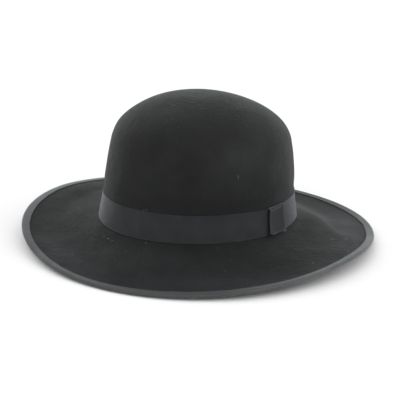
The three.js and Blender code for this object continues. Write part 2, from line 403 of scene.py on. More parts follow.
def round_place(co):
    """Angle from the hat's front, radius and height of a spun point."""
    step = math.tau / AROUND
    angle = round(math.atan2(co.x, -co.y) / step) % AROUND * step
    return round(angle, 7), math.hypot(co.x, co.y), co.z


def pull(bm, place):
    """Moves every spun point to its place on the hat, and keeps where it came from."""
    came_from = {}
    bm.verts.index_update()
    for v in bm.verts:
        came_from[v.index] = round_place(v.co)
        v.co = seated(place(*came_from[v.index]))
    bmesh.ops.recalc_face_normals(bm, faces=bm.faces)
    for face in bm.faces:
        face.smooth = True
    return came_from


# %% Felt body
CROWN_STEPS, BEND_STEPS, BRIM_STEPS = 60, 6, 44
BINDING_RADIUS = 1.7


def felt_end(angle):
    """Where the felt stops, at the middle of the binding's nose."""
    return brim_row(angle)[0] - BINDING_RADIUS


def felt_place(angle, radius, _):
    """A point of the flat hood, pulled over the block. The radius counts the steps outwards."""
    step = round(radius)
    if step == 0:
        return in_place(angle, *crown_row(0)[:2], 0, CROWN_HEIGHT)
    if step <= CROWN_STEPS:
        return wall_point(angle, crown_row(BEND_ROW * step / CROWN_STEPS)[2], 0)
    fall = math.atan(brim_slope(angle, FOOT_RADIUS))
    reach = 1 + math.sin(fall)
    if step <= CROWN_STEPS + BEND_STEPS:
        turn = math.pi + (math.pi / 2 + fall) * (step - CROWN_STEPS) / BEND_STEPS
        up = FOOT_RADIUS * (reach / math.cos(fall) + math.sin(turn))
        out = FOOT_RADIUS * (1 + math.cos(turn))
        return wall_point(angle, max(up, 0), out) + Vector((0, 0, min(up, 0)))
    share = (step - CROWN_STEPS - BEND_STEPS) / BRIM_STEPS
    start = FOOT_RADIUS * reach
    return brim_point(angle, start + (felt_end(angle) - start) * share, 0)


steps_out = CROWN_STEPS + BEND_STEPS + BRIM_STEPS
bm = spun([(step, 0) for step in range(steps_out + 1)], closed=False)
came_from = pull(bm, felt_place)
# painted sheen and painted shade, kept on each point as a gain on the felt's colour
painted_light = bm.verts.layers.float.new("painted_sheen_and_shade")
for v in bm.verts:
    angle, step, _ = came_from[v.index]
    on_crown = BEND_ROW / LAST_ROW * step / CROWN_STEPS
    on_brim = 1 + (step - CROWN_STEPS - BEND_STEPS) / BRIM_STEPS
    v[painted_light] = painted_sheen_and_shade(angle, on_crown if step <= CROWN_STEPS else max(on_brim, 1))
if sum(face.normal.z for face in bm.faces) < 0:
    bmesh.ops.reverse_faces(bm, faces=bm.faces)
felt = new_object("felt_hood", bm)
wall = felt.modifiers.new("felt wall", "SOLIDIFY")
wall.thickness, wall.offset = FELT_WALL * MM, -1
wall.use_even_offset = True
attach(felt, "root")
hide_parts("felt_body")
print("felt:", len(felt.data.polygons), "faces before its wall")

# %% [markdown]
# ## The ribbons
# Grosgrain is a ribbon with stout cross ribs and a firm selvedge. The band is a closed loop with a
# small section: two faces 0.6 mm apart and a bead along each edge, where the weft turns round.
# The binding is the same cloth, folded lengthways over the brim's edge. Both are spun from their
# section and pulled in place like the felt. They get a UV map in metres, so that ribs keep their
# pitch and run square to the ribbon whatever way it bends.

# %% Band
BAND_BOTTOM, BAND_HEIGHT = 1.2, 24.0
BAND_INSIDE, BAND_OUTSIDE, BEAD = 0.2, 0.8, 0.14
BAND_DIP = 1.2                    # how far the keeper draws the band's top edge down
BAND_DIP_AT, BAND_DIP_REACH = 80, 12
BAND_SLACK, BAND_WAVE = 0.22, 0.25   # its top edge stands off, and rises and falls, this much
# how often the lumps of a ribbon follow each other round the hat, and their own place in the noise
SLACK_LUMPS, WAVE_LUMPS = (2, 60), (1, 340)
BAND_RADIUS, BRIM_RADIUS = 95, 160   # middle radii, which turn an angle into ribbon length
RING = 500.0                      # radius at which sections are spun, so that none meets the axis


def unwrap(bm, came_from, uv_of):
    """A UV map in metres, from where each point was spun. Joins the seam of a full turn."""
    layer = bm.loops.layers.uv.new("ribbon")
    for face in bm.faces:
        angles = [came_from[loop.vert.index][0] for loop in face.loops]
        crosses = max(angles) - min(angles) > math.pi
        for loop, angle in zip(face.loops, angles):
            _, radius, height = came_from[loop.vert.index]
            turned = angle + (math.tau if crosses and angle < math.pi else 0)
            loop[layer].uv = uv_of(turned, radius, height)


def waver(angle, lumps):
    """Unevenness of a ribbon round the hat, at most about 1."""
    often, at = lumps
    return lump(angle * often, at, 1)


def band_section():
    """Outside face upwards, then the inside face down again, with a bead at each selvedge."""
    shares = (0.0, 0.012, 0.035, 0.07, 0.3, 0.5, 0.7, 0.93, 0.965, 0.988, 1.0)
    swell = (0.3, 1.0, 0.8, 0.0, 0.0, 0.0, 0.0, 0.0, 0.8, 1.0, 0.3)
    outside = [(RING + BAND_OUTSIDE + BEAD * s, BAND_HEIGHT * a) for a, s in zip(shares, swell)]
    inside = [(RING + BAND_INSIDE, BAND_HEIGHT * a) for a in (0.985, 0.7, 0.4, 0.015)]
    return outside + inside


def band_place(angle, radius, height):
    share = height / BAND_HEIGHT
    out = radius - RING
    slack = BAND_SLACK * waver(angle, SLACK_LUMPS) * share**3
    dip = BAND_DIP * math.exp(-(apart(angle, BAND_DIP_AT) / BAND_DIP_REACH) ** 2)
    wave = BAND_WAVE * waver(angle, WAVE_LUMPS) - dip
    return wall_point(angle, BAND_BOTTOM + height + wave * share, out + slack)


bm = spun(band_section(), closed=True)
came_from = pull(bm, band_place)
unwrap(bm, came_from, lambda a, r, h: (a * BAND_RADIUS * MM, h * MM))
band = new_object("grosgrain_band", bm)
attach(band, "root")
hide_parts("hat_band")
print("band:", len(band.data.polygons), "faces")

# %% [markdown]
# The binding's section is a long U. Points on its legs count inwards from the middle of the nose,
# and points past that turn round the felt's edge. On a curved edge a straight ribbon puckers a
# little along its inner selvedge, and that waver is what tells it from a moulded rim.

# %% Binding
LEG_UPPER, LEG_LOWER = 5.2, 5.0
RIBBON_INSIDE = 1.0               # half of the felt's wall and a hair
TIP_TAPER = 0.2                   # how much thinner the ribbon's selvedge is than its nose
TIP_ROUND = 0.1
BEAD_TIP = 0.06                   # the selvedge is this much thicker than the cloth beside it
NOSE_STEPS = 8
PUCKER, RIPPLE, LIFT = 0.28, 0.12, 0.12
PUCKER_LUMPS, LIFT_LUMPS = (5, 500), (9, 700)
RIPPLES, DRIFT, DRIFTS = 61, 2, 7    # stitches' ripples round the hat, and how they drift apart


def u_track(radius, taper=0.0):
    """One face of the folded ribbon: (inwards from the nose, off the felt's middle)."""
    turns = [math.pi / 2 - math.pi * i / NOSE_STEPS for i in range(NOSE_STEPS + 1)]
    nose = [(-radius * math.cos(t), radius * math.sin(t)) for t in turns]
    upper = [(LEG_UPPER * s, radius - taper * s**3) for s in (0.92, 0.75, 0.5, 0.25)]
    lower = [(LEG_LOWER * s, taper * s**3 - radius) for s in (0.25, 0.5, 0.75, 0.92)]
    return upper + nose + lower


def binding_section():
    outer = u_track(BINDING_RADIUS, TIP_TAPER)
    inner = u_track(RIBBON_INSIDE)
    tip = BINDING_RADIUS - TIP_TAPER
    tip_up = [
        (LEG_UPPER, RIBBON_INSIDE + TIP_ROUND / 2),
        (LEG_UPPER + TIP_ROUND, (tip + RIBBON_INSIDE) / 2),
        (LEG_UPPER, tip), (LEG_UPPER * 0.97, tip + BEAD_TIP),
    ]
    tip_down = [(d * LEG_LOWER / LEG_UPPER, -w) for d, w in reversed(tip_up)]
    return [(RING - d, w) for d, w in tip_up + outer + tip_down + inner[::-1]]


def binding_place(angle, radius, height):
    inwards = RING - radius
    end = felt_end(angle)
    ripple = RIPPLE * math.sin(angle * RIPPLES + DRIFT * math.sin(angle * DRIFTS))
    pucker = PUCKER * waver(angle, PUCKER_LUMPS) + ripple
    if inwards >= 0:
        share = inwards / LEG_UPPER
        lift = math.copysign(LIFT * share * waver(angle, LIFT_LUMPS), height)
        return brim_point(angle, end - inwards * (1 + pucker / LEG_UPPER * share),
                          height + lift - FELT_WALL / 2)
    slope = math.atan(brim_slope(angle, end))
    across = -inwards * math.cos(slope) - height * math.sin(slope)
    up = -inwards * math.sin(slope) + height * math.cos(slope)
    middle = brim_height(angle, end) - FELT_WALL / 2 * math.cos(slope)
    back = FELT_WALL / 2 * math.sin(slope)
    return in_place(angle, 1, 0, end + back + across, middle + up)


def binding_uv(angle, radius, height):
    inwards = RING - radius
    if inwards < 0:
        inwards = -BINDING_RADIUS * math.acos(max(-1, min(1, height / math.hypot(inwards, height))))
    elif height < 0:
        inwards = -math.pi * BINDING_RADIUS - inwards
    return angle * BRIM_RADIUS * MM, (LEG_UPPER - inwards) * MM


bm = spun(binding_section(), closed=True)
came_from = pull(bm, binding_place)
unwrap(bm, came_from, binding_uv)
binding = new_object("edge_binding", bm)
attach(binding, "root")
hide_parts("brim_binding")
print("binding:", len(binding.data.polygons), "faces")

# %% [markdown]
# ## The keeper
# The ends of the band meet under a short upright ribbon. It is folded over the band's top edge,
# runs down its face and tucks in at the brim. Its front edge stands off, so that a dark slot
# shows beside it, and the lower front corner is clipped. A flat grid takes all of that: one axis
# runs round the hat, the other follows the path of the ribbon.

# %% Keeper
KEEPER_FROM, KEEPER_TO = math.radians(78.3), math.radians(90.8)
KEEPER_WALL, KEEPER_EDGE = 0.9, 0.32
KEEPER_CREASE = math.radians(50)  # edges sharper than this are rounded
KEEPER_FACE = 1.8                 # its outer face, off the crown's wall
KEEPER_FRONT_LIFT, KEEPER_BACK_LIFT = 2.2, 1.5
KEEPER_FLARE = 0.35               # how far its lower end curls out
KEEPER_SKEW = math.radians(1.5)   # how far its front edge runs forwards on the way down
KEEPER_DROP, KEEPER_SLANT = 0.75, 0.4    # its fold under the band's top edge, and back end up
KEEPER_START, KEEPER_FOOT = 0.35, 0.5
KEEPER_BEND, KEEPER_TUCK = 1.5, 1.5      # radii of its upper and its lower fold
KEEPER_HOLLOW = 0.25
CORNER_SHARE, CORNER_RISE = 0.17, 2.4
OVER_EDGE, DOWN_FACE, UNDER_EDGE = 0.1, 0.2, 0.94   # shares of its path where it bends
KEEPER_COLUMNS, KEEPER_ROWS = 26, 50
KEEPER_WIDTH, KEEPER_LENGTH = 20, 29


def keeper_path(share, down):
    """Off the wall and up, at a share of the keeper's width and of its path from the top down."""
    top = BAND_BOTTOM + BAND_HEIGHT - KEEPER_DROP + KEEPER_SLANT * share
    face = KEEPER_FACE + KEEPER_FRONT_LIFT * (1 - share) ** 2 + KEEPER_BACK_LIFT * share**2
    bottom = KEEPER_FOOT + CORNER_RISE * max(0.0, 1 - share / CORNER_SHARE)
    start, bend, tuck = KEEPER_START, KEEPER_BEND, KEEPER_TUCK
    if down <= OVER_EDGE:
        return start + (face - bend - start) * down / OVER_EDGE, top
    if down <= DOWN_FACE:
        turn = (down - OVER_EDGE) / (DOWN_FACE - OVER_EDGE) * math.pi / 2
        return face - bend + bend * math.sin(turn), top - bend + bend * math.cos(turn)
    if down <= UNDER_EDGE:
        t = (down - DOWN_FACE) / (UNDER_EDGE - DOWN_FACE)
        high, low = top - bend, bottom + tuck
        out = face - KEEPER_HOLLOW * math.sin(math.pi * t) + KEEPER_FLARE * t**6
        return out, high + (low - high) * t
    turn = (down - UNDER_EDGE) / (1 - UNDER_EDGE) * math.pi / 2
    face += KEEPER_FLARE
    return face - tuck + tuck * math.cos(turn), bottom + tuck - tuck * math.sin(turn)


def keeper_place(share, down):
    angle = KEEPER_FROM + (KEEPER_TO - KEEPER_FROM) * share
    angle -= KEEPER_SKEW * (1 - share) * max(0.0, down - DOWN_FACE)
    out, up = keeper_path(share, down)
    return wall_point(angle, up, out)


bm = bmesh.new()
bmesh.ops.create_grid(bm, x_segments=KEEPER_COLUMNS, y_segments=KEEPER_ROWS, size=0.5)
layer = bm.loops.layers.uv.new("ribbon")
for face in bm.faces:
    face.smooth = True
    for loop in face.loops:
        share, down = loop.vert.co.x + 0.5, 0.5 - loop.vert.co.y
        # the V runs to the nearer side edge or fold, so the painted selvedge highlight also lines
        # the keeper's folds
        to_side = min(share, 1 - share) * KEEPER_WIDTH
        to_fold = min(abs(down - DOWN_FACE), max(UNDER_EDGE - down, 0)) * KEEPER_LENGTH
        loop[layer].uv = (down * KEEPER_LENGTH * MM, min(to_side, to_fold) * MM)
for v in bm.verts:
    v.co = seated(keeper_place(v.co.x + 0.5, 0.5 - v.co.y))
bmesh.ops.recalc_face_normals(bm, faces=bm.faces)
# the keeper sits on the hat's +X side, so its faces have to look that way before they get a wall
if sum(face.normal.x for face in bm.faces) < 0:
    bmesh.ops.reverse_faces(bm, faces=bm.faces)
keeper = new_object("band_keeper_fold", bm)
wall = keeper.modifiers.new("keeper wall", "SOLIDIFY")
wall.thickness, wall.offset = KEEPER_WALL * MM, -1
soften = keeper.modifiers.new("turned edges", "BEVEL")
soften.width, soften.segments, soften.limit_method = KEEPER_EDGE * MM, 3, "ANGLE"
soften.angle_limit = KEEPER_CREASE
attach(keeper, "root")
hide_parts("band_keeper")
print("keeper:", len(keeper.data.polygons), "faces before its wall")

# %% [markdown]
# A few stitches of black thread hold the keeper's lower back corner. Each is a drawn-out ball,
# laid slantwise over the edge: a thread seen from a metre away is no more than that.

# %% Stitches
THREAD, THREAD_STRETCH = 0.4, 3.2
THREAD_OFF = KEEPER_FACE + KEEPER_BACK_LIFT + KEEPER_FLARE    # off the wall, like the edge it holds
# degrees from the front, height, lean in degrees
STITCHES = ((89.3, 1.3, 50), (90.4, 2.6, 20), (91.2, 1.0, 40), (88.4, 3.0, 15), (90.1, 0.4, 65))

bm = bmesh.new()
for degrees, up, lean in STITCHES:
    made = bmesh.ops.create_icosphere(bm, subdivisions=2, radius=THREAD)["verts"]
    angle, lean = math.radians(degrees), math.radians(lean)
    *_, nx, ny = foot(angle)
    outward = Vector((nx, ny, 0))
    along = Vector((-ny * math.sin(lean), nx * math.sin(lean), math.cos(lean)))
    side = outward.cross(along)
    spot = wall_point(angle, up, THREAD_OFF)
    for v in made:
        v.co = seated(spot + along * v.co.z * THREAD_STRETCH + outward * v.co.x + side * v.co.y)
bmesh.ops.recalc_face_normals(bm, faces=bm.faces)
for face in bm.faces:
    face.smooth = True
stitches = new_object("keeper_stitches", bm)
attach(stitches, "root")
print("stitches:", len(STITCHES))

# %% [markdown]
# ## Lint
# Black wool gathers light fibres, and on a studio photograph they are the first thing that says
# cloth. Each is a strand of three sides and a few joints, bent once and laid on the nap. Copies
# are made by doubling one strand over and over, and every copy is then bent to its own place.

# %% A field of strands
STRAND_JOINTS = 5
STRAND_SIDES = 3
STRAND_TAPER = 0.5                # how much thinner its ends are than its middle
STRAND_OFF = 0.6                  # it starts so many radii above the felt
SKIN_STEP = 0.002                 # how far apart two places are that give a direction on the felt
TIP_FACING = 40                   # keeps the outward side upwards near the crown's tip


def strand_field(count):
    """A bmesh of many straight strands of unit length, each a closed solid, in order."""
    bm = bmesh.new()
    bmesh.ops.create_circle(bm, cap_ends=True, segments=STRAND_SIDES, radius=1)
    tip = bm.faces[:]
    for _ in range(STRAND_JOINTS - 1):
        grown = bmesh.ops.extrude_face_region(bm, geom=tip)["geom"]
        tip = [g for g in grown if isinstance(g, bmesh.types.BMFace)]
        fresh = [g for g in grown if isinstance(g, bmesh.types.BMVert)]
        bmesh.ops.translate(bm, verts=fresh, vec=(0, 0, 1))
    bmesh.ops.recalc_face_normals(bm, faces=bm.faces)
    each = len(bm.verts)
    while len(bm.verts) < each * count:
        bmesh.ops.duplicate(bm, geom=bm.verts[:] + bm.edges[:] + bm.faces[:])
    bm.verts.index_update()
    spare = [v for v in bm.verts if v.index >= each * count]
    bmesh.ops.delete(bm, geom=spare, context="VERTS")
    bm.verts.index_update()
    return bm, each


def skin(angle, place):
    """A point of the felt's upper face: 0 to 1 is the crown from tip to foot, 1 to 2 the brim."""
    if place < 1:
        return wall_point(angle, crown_row(round(LAST_ROW * place, 5))[2], 0)
    return brim_point(angle, (place - 1) * brim_row(angle)[0], 0)


def skin_frame(angle, place):
    """Point, outward normal and two directions along the felt: outwards and round."""
    here = skin(angle, place)
    out = (skin(angle, place + SKIN_STEP) - here).normalized()
    round_it = skin(angle + SKIN_STEP, place) - skin(angle - SKIN_STEP, place)
    normal = round_it.cross(out).normalized()
    facing = Vector((0, 0, 1)) if place > 1 else Vector((here.x, here.y, TIP_FACING))
    if normal.dot(facing) < 0:
        normal.negate()
    return here, normal, out, normal.cross(out)


def lay_strands(bm, each, strands):
    """Bends every strand of a field: (angle, place, heading, length, bend, radius, rise)."""
    bm.verts.ensure_lookup_table()
    for k, (angle, place, heading, length, bend, radius, rise) in enumerate(strands):
        here, normal, out, aside = skin_frame(angle, place)
        along = out * math.cos(heading) + aside * math.sin(heading)
        across = normal.cross(along)
        for i in range(each):
            v = bm.verts[k * each + i]
            joint, side = divmod(i, STRAND_SIDES)
            t = joint / (STRAND_JOINTS - 1)
            turn = math.tau * side / STRAND_SIDES
            thin = radius * (1 - STRAND_TAPER * abs(2 * t - 1))
            spine = along * (t - 0.5) * length + across * bend * length * (1 - (2 * t - 1) ** 2)
            lift = radius * STRAND_OFF + rise * length * t * t
            around = across * math.cos(turn) + normal * math.sin(turn)
            v.co = seated(here + spine + normal * lift + around * thin)


# %% Lint where it shows
# degrees from the front, place on the skin, heading in degrees, length, bend, thickness
SEEN_LINT = (
    (106, 1.08, 60, 2.0, 0.1, 0.14), (102, 1.54, 62, 4.6, 0.03, 0.13),
    (106, 1.68, 60, 5.0, 0.02, 0.15), (97, 1.72, 20, 2.6, 0.2, 0.12),
    (93, 1.84, 80, 2.4, -0.2, 0.12), (75, 1.52, 30, 2.0, 0.1, 0.08), (77, 1.7, 70, 2.8, 0.15, 0.13),
    (311, 1.34, 120, 2.4, 0.2, 0.14), (336, 1.57, 95, 2.0, 0.0, 0.13),
    (338, 1.13, 70, 2.6, 0.25, 0.14), (342, 1.13, 80, 3.0, 0.3, 0.1),
    (346, 1.14, 100, 2.8, 0.25, 0.1), (302, 1.15, 20, 2.0, 0.1, 0.14),
    (288, 1.22, 50, 2.4, 0.1, 0.15), (48, 1.28, 5, 3.4, 0.05, 0.08),
    (57, 0.5345, 5, 3.4, 0.04, 0.12), (45, 1.07, 40, 1.6, 0.2, 0.1),
    (1, 0.154, 100, 3.6, 0.35, 0.12), (301, 0.136, 60, 2.0, 0.1, 0.12),
    (88, 0.125, 80, 3.4, 0.2, 0.13), (1.8, 0.763, 90, 1.2, 0.1, 0.11),
    (3.4, 0.758, 80, 1.0, 0.1, 0.11), (6, 1.04, 70, 2.2, 0.2, 0.1),
)
SEEN_RISE = 0.02
SCATTERED_LINT = 110
# the least and the most of what is drawn for a scattered one
LINT_CROWN, LINT_BRIM = (0.04, 0.28), (1.06, 1.86)
LINT_LENGTH, LINT_BEND = (0.7, 2.2), (-0.35, 0.35)
LINT_THICKNESS, LINT_RISE = (0.025, 0.045), (0, 0.12)

strands = [
    (math.radians(degrees), place, math.radians(heading), length, bend, radius, SEEN_RISE)
    for degrees, place, heading, length, bend, radius in SEEN_LINT
]
for _ in range(SCATTERED_LINT):
    place = random.choice((random.uniform(*LINT_CROWN), random.uniform(*LINT_BRIM)))
    strands.append((
        random.uniform(0, math.tau), place, random.uniform(0, math.pi),
        random.uniform(*LINT_LENGTH), random.uniform(*LINT_BEND),
        random.uniform(*LINT_THICKNESS), random.uniform(*LINT_RISE),
    ))
bm, each = strand_field(len(strands))
lay_strands(bm, each, strands)
bmesh.ops.recalc_face_normals(bm, faces=bm.faces)
lint = new_object("felt_lint", bm)
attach(lint, "root")
print("lint:", len(strands), "fibres")

# %% [markdown]
# ## Materials
# Three effects are used by more than one cloth, so each is a node group with its own sockets:
# the matted nap of felt, the ribs of grosgrain, and dust. The shader itself stays in each
# material, with its sheen and other constants set on its own sockets.

# %% Node helpers
CLOUD_LOW, CLOUD_HIGH = 0.3, 0.7  # the middle part of a noise, where most of its values lie


def feed(tree, socket, value):
    """Links another socket to a socket, or gives it a plain value."""
    if isinstance(value, bpy.types.NodeSocket):
        tree.links.new(value, socket)
    else:
        socket.default_value = value


def add(tree, kind, inputs=(), **settings):
    """A shader node with its settings and the values of its inputs."""
    made = tree.nodes.new("ShaderNode" + kind)
    for key, value in settings.items():
        setattr(made, key, value)
    for key, value in dict(inputs).items():
        feed(tree, made.inputs[key], value)
    return made


def maths(tree, operation, *values):
    return add(tree, "Math", enumerate(values), operation=operation).outputs[0]


def scaled(tree, vector, factor):
    """A vector or a colour times a number."""
    return add(tree, "VectorMath", {0: vector, "Scale": factor}, operation="SCALE").outputs[0]


def noisy(tree, vector, scale, detail, roughness=0.5, distortion=0.0, output="Fac"):
    """A noise, as a number or as a colour."""
    values = {"Vector": vector, "Scale": scale, "Detail": detail, "Roughness": roughness,
              "Distortion": distortion}
    return add(tree, "TexNoise", values).outputs[output]


def new_group(name, takes, gives):
    """An empty node group with named sockets: (label, kind, value) and (label, kind)."""
    group = bpy.data.node_groups.new(name, "ShaderNodeTree")
    for label, kind, value in takes:
        socket = group.interface.new_socket(label, in_out="INPUT", socket_type="NodeSocket" + kind)
        if value is not None:
            socket.default_value = value
    for label, kind in gives:
        group.interface.new_socket(label, in_out="OUTPUT", socket_type="NodeSocket" + kind)
    inside = group.nodes
    return group, inside.new("NodeGroupInput").outputs, inside.new("NodeGroupOutput").inputs


def use_group(tree, group, inputs=()):
    return add(tree, "Group", inputs, node_tree=group).outputs


def span(tree, value, low, high, to_low=0.0, to_high=1.0):
    """A value's range stretched onto another, and clipped."""
    ends = {"Value": value, "From Min": low, "From Max": high, "To Min": to_low, "To Max": to_high}
    return add(tree, "MapRange", ends).outputs[0]


# %% [markdown]
# Felt has no weave: its fibres lie matted in every direction. A noise that is folded over at its
# middle value draws thin crooked ridges, much like single hairs. Three plain noises raise the
# tufts between them, and a slow one gives the cloudy patches that brushing leaves.

# %% Nap group
LONG_HAIR, LONG_SHARE = 0.37, 0.8    # scale and weight of the longer hairs beside the fine ones
HAIR_WIDTH, HAIR_HEIGHT = 0.12, 0.25
TUFTS = ((230.0, 4.0, 0.8), (430.0, 2.0, 0.5), (115.0, 1.0, 0.5))    # scale, detail, height

nap, takes, gives = new_group(
    "matted nap",
    [("Vector", "Vector", None), ("Hair Scale", "Float", 900.0)],
    [("Height", "Float"), ("Cloud", "Float"), ("Hair", "Float")],
)


def ridges(tree, vector, scale, distortion):
    """Thin crooked lines: a noise folded over at its middle value."""
    wool = noisy(tree, vector, scale, detail=3.0, roughness=0.55, distortion=distortion)
    off_middle = maths(tree, "ABSOLUTE", maths(tree, "SUBTRACT", wool, 0.5))
    return span(tree, off_middle, 0.0, HAIR_WIDTH, 1.0, 0.0)


fine = ridges(nap, takes["Vector"], takes["Hair Scale"], distortion=1.4)
long_scale = maths(nap, "MULTIPLY", takes["Hair Scale"], LONG_HAIR)
long = ridges(nap, takes["Vector"], long_scale, distortion=2.2)
hair = maths(nap, "MAXIMUM", fine, maths(nap, "MULTIPLY", long, LONG_SHARE))
height = maths(nap, "MULTIPLY", hair, HAIR_HEIGHT)
for scale, detail, weight in TUFTS:
    tuft = noisy(nap, takes["Vector"], scale, detail)
    height = maths(nap, "MULTIPLY_ADD", tuft, weight, height)
cloud = noisy(nap, takes["Vector"], 34.0, detail=5.0, roughness=0.6)
nap.links.new(height, gives["Height"])
nap.links.new(span(nap, cloud, CLOUD_LOW, CLOUD_HIGH), gives["Cloud"])
nap.links.new(hair, gives["Hair"])
print(nap.name, len(nap.nodes), "nodes")

# %% [markdown]
# Grosgrain ribs run straight across the ribbon. The UV map is in metres along the ribbon, so a
# sine of it gives ribs of a true pitch, and a root of the sine makes them round with sharp
# valleys. Threads and a slow change of tone keep them from looking ruled.

# %% Rib group
RIB_BOW = 0.0006                  # how far a rib strays from straight, in metres
RIB_ROUND = 0.6                   # the root that makes a sine wave round on top
THREAD_HEIGHT = 0.35
THREAD_DRAWN = (1.0, 0.12, 1.0)   # the noise of the threads is drawn out along the ribs
VALLEY_TOP = 0.75                 # height of a rib up to which it counts as valley
SELVEDGE_SOFT = 0.6

ribs, takes, gives = new_group(
    "grosgrain ribs",
    [("UV", "Vector", None), ("Pitch", "Float", 0.0008), ("Width", "Float", 0.0246),
     ("Edge", "Float", 0.0008)],
    [("Height", "Float"), ("Valley", "Float"), ("Cloud", "Float"), ("Selvedge", "Float")],
)
parts = add(ribs, "SeparateXYZ", {"Vector": takes["UV"]}).outputs
bow = noisy(ribs, takes["UV"], 140.0, detail=2.0)
along = maths(ribs, "MULTIPLY_ADD", bow, RIB_BOW, parts["X"])
turns = maths(ribs, "MULTIPLY", maths(ribs, "DIVIDE", along, takes["Pitch"]), math.pi)
rib = maths(ribs, "POWER", maths(ribs, "ABSOLUTE", maths(ribs, "SINE", turns)), RIB_ROUND)
stretch = add(ribs, "Mapping", {"Vector": takes["UV"], "Scale": THREAD_DRAWN}).outputs[0]
thread = noisy(ribs, stretch, 5200.0, detail=2.0)
tone = noisy(ribs, takes["UV"], 60.0, detail=4.0)
ribs.links.new(maths(ribs, "MULTIPLY_ADD", thread, THREAD_HEIGHT, rib), gives["Height"])
ribs.links.new(span(ribs, rib, 0.0, VALLEY_TOP, 1.0, 0.0), gives["Valley"])
ribs.links.new(span(ribs, tone, CLOUD_LOW, CLOUD_HIGH), gives["Cloud"])
to_edge = maths(ribs, "MINIMUM", parts["Y"], maths(ribs, "SUBTRACT", takes["Width"], parts["Y"]))
near = maths(ribs, "SUBTRACT", 1.0, maths(ribs, "DIVIDE", to_edge, takes["Edge"]))
ribs.links.new(span(ribs, near, 0.0, SELVEDGE_SOFT), gives["Selvedge"])
print(ribs.name, len(ribs.nodes), "nodes")

# %% [markdown]
# Dust settles in small flecks. Each cell of a Voronoi pattern has one random colour and one
# centre; cells with a high colour carry a fleck, and a bent coordinate makes the flecks crooked.

# %% Dust group
DUST_BEND = 0.0016
FLECK_INSIDE, FLECK_OUTSIDE = 0.035, 0.09

dust, takes, gives = new_group(
    "dust flecks",
    [("Vector", "Vector", None), ("Scale", "Float", 160.0), ("Rarity", "Float", 0.8)],
    [("Mask", "Float")],
)
bend = noisy(dust, takes["Vector"], 700.0, detail=1.0, output="Color")
shift = scaled(dust, bend, DUST_BEND)
bent = add(dust, "VectorMath", {0: takes["Vector"], 1: shift}, operation="ADD").outputs[0]
cells = add(dust, "TexVoronoi", {"Vector": bent, "Scale": takes["Scale"]}).outputs
pick = add(dust, "SeparateXYZ", {"Vector": cells["Color"]}).outputs["X"]
chosen = maths(dust, "GREATER_THAN", pick, takes["Rarity"])
fleck = span(dust, cells["Distance"], FLECK_INSIDE, FLECK_OUTSIDE, 1.0, 0.0)
dust.links.new(maths(dust, "MULTIPLY", fleck, chosen), gives["Mask"])
print(dust.name, len(dust.nodes), "nodes")

# %% [markdown]
# A cloth is one Principled shader. Its constants are set once, by name, and nodes drive its colour,
# its roughness and its bump.

# %% Material helpers
def new_material(name, **constants):
    """A material with constants on its Principled shader: its tree and the shader's inputs."""
    made = bpy.data.materials.new(name)
    made.use_nodes = True
    inputs = made.node_tree.nodes["Principled BSDF"].inputs
    for key, value in constants.items():
        inputs[key.replace("_", " ").title().replace("Ior", "IOR")].default_value = value
    return made, made.node_tree, inputs


def mixed(tree, mask, low, high):
    """Two colours mixed by a mask."""
    node = add(tree, "Mix", {"Factor": mask}, data_type="RGBA")
    colours = [i for i in node.inputs if i.type == "RGBA"]
    for socket, value in zip(colours, (low, high)):
        feed(tree, socket, (*value, 1) if isinstance(value, tuple) else value)
    return next(o for o in node.outputs if o.type == "RGBA")


def bumped(tree, inputs, height, strength, distance):
    bump = add(tree, "Bump", {"Height": height, "Strength": strength, "Distance": distance})
    tree.links.new(bump.outputs[0], inputs["Normal"])


# %% [markdown]
# ## Wool felt
# Black felt is nearly the darkest of cloths seen face on, and turns grey along every outline,
# where light catches the standing fibres. The sheen layer of the Principled shader does just
# that. The nap group drives a fine bump, a little cloudiness of colour and of roughness, and a
# gain on the points paints paler sheen and darker shade into the felt's colour.

# %% Wool felt
FELT_DARK, FELT_LIGHT = (0.0078, 0.008, 0.0086), (0.0117, 0.0121, 0.0127)
FELT_CLOUD, FELT_HAIR, FELT_DUST = 0.85, 0.1, 0.16    # weights of what varies its colour
FELT_ROUGHNESS = (0.7, 0.58)      # where the nap is dark, and where it is pale
NAP_STRENGTH, NAP_DEPTH = 0.7, 0.0005
DUST_GREY = (0.16, 0.165, 0.16)

wool, tree, inputs = new_material(
    "black_wool_felt", roughness=0.64, specular_ior_level=0.13, sheen_weight=0.195,
    sheen_roughness=0.27, sheen_tint=(0.78, 0.87, 0.87, 1),
)
place = add(tree, "TexCoord").outputs["Object"]
wool_nap = use_group(tree, nap, {"Vector": place})
flecks = use_group(tree, dust, {"Vector": place, "Scale": 170.0, "Rarity": 0.92})["Mask"]
tone = maths(tree, "MULTIPLY_ADD", wool_nap["Hair"], FELT_HAIR,
             maths(tree, "MULTIPLY", wool_nap["Cloud"], FELT_CLOUD))
colour = mixed(tree, tone, FELT_DARK, FELT_LIGHT)
# painted sheen and painted shade: the felt's colour is scaled by one plus the points' gain
painted_light_marks = add(tree, "Attribute", attribute_name="painted_sheen_and_shade").outputs["Fac"]
colour = scaled(tree, colour, maths(tree, "ADD", painted_light_marks, 1.0))
dusty = mixed(tree, maths(tree, "MULTIPLY", flecks, FELT_DUST), colour, DUST_GREY)
tree.links.new(dusty, inputs["Base Color"])
tree.links.new(span(tree, wool_nap["Cloud"], 0.0, 1.0, *FELT_ROUGHNESS), inputs["Roughness"])
bumped(tree, inputs, wool_nap["Height"], NAP_STRENGTH, NAP_DEPTH)
felt.data.materials.append(wool)

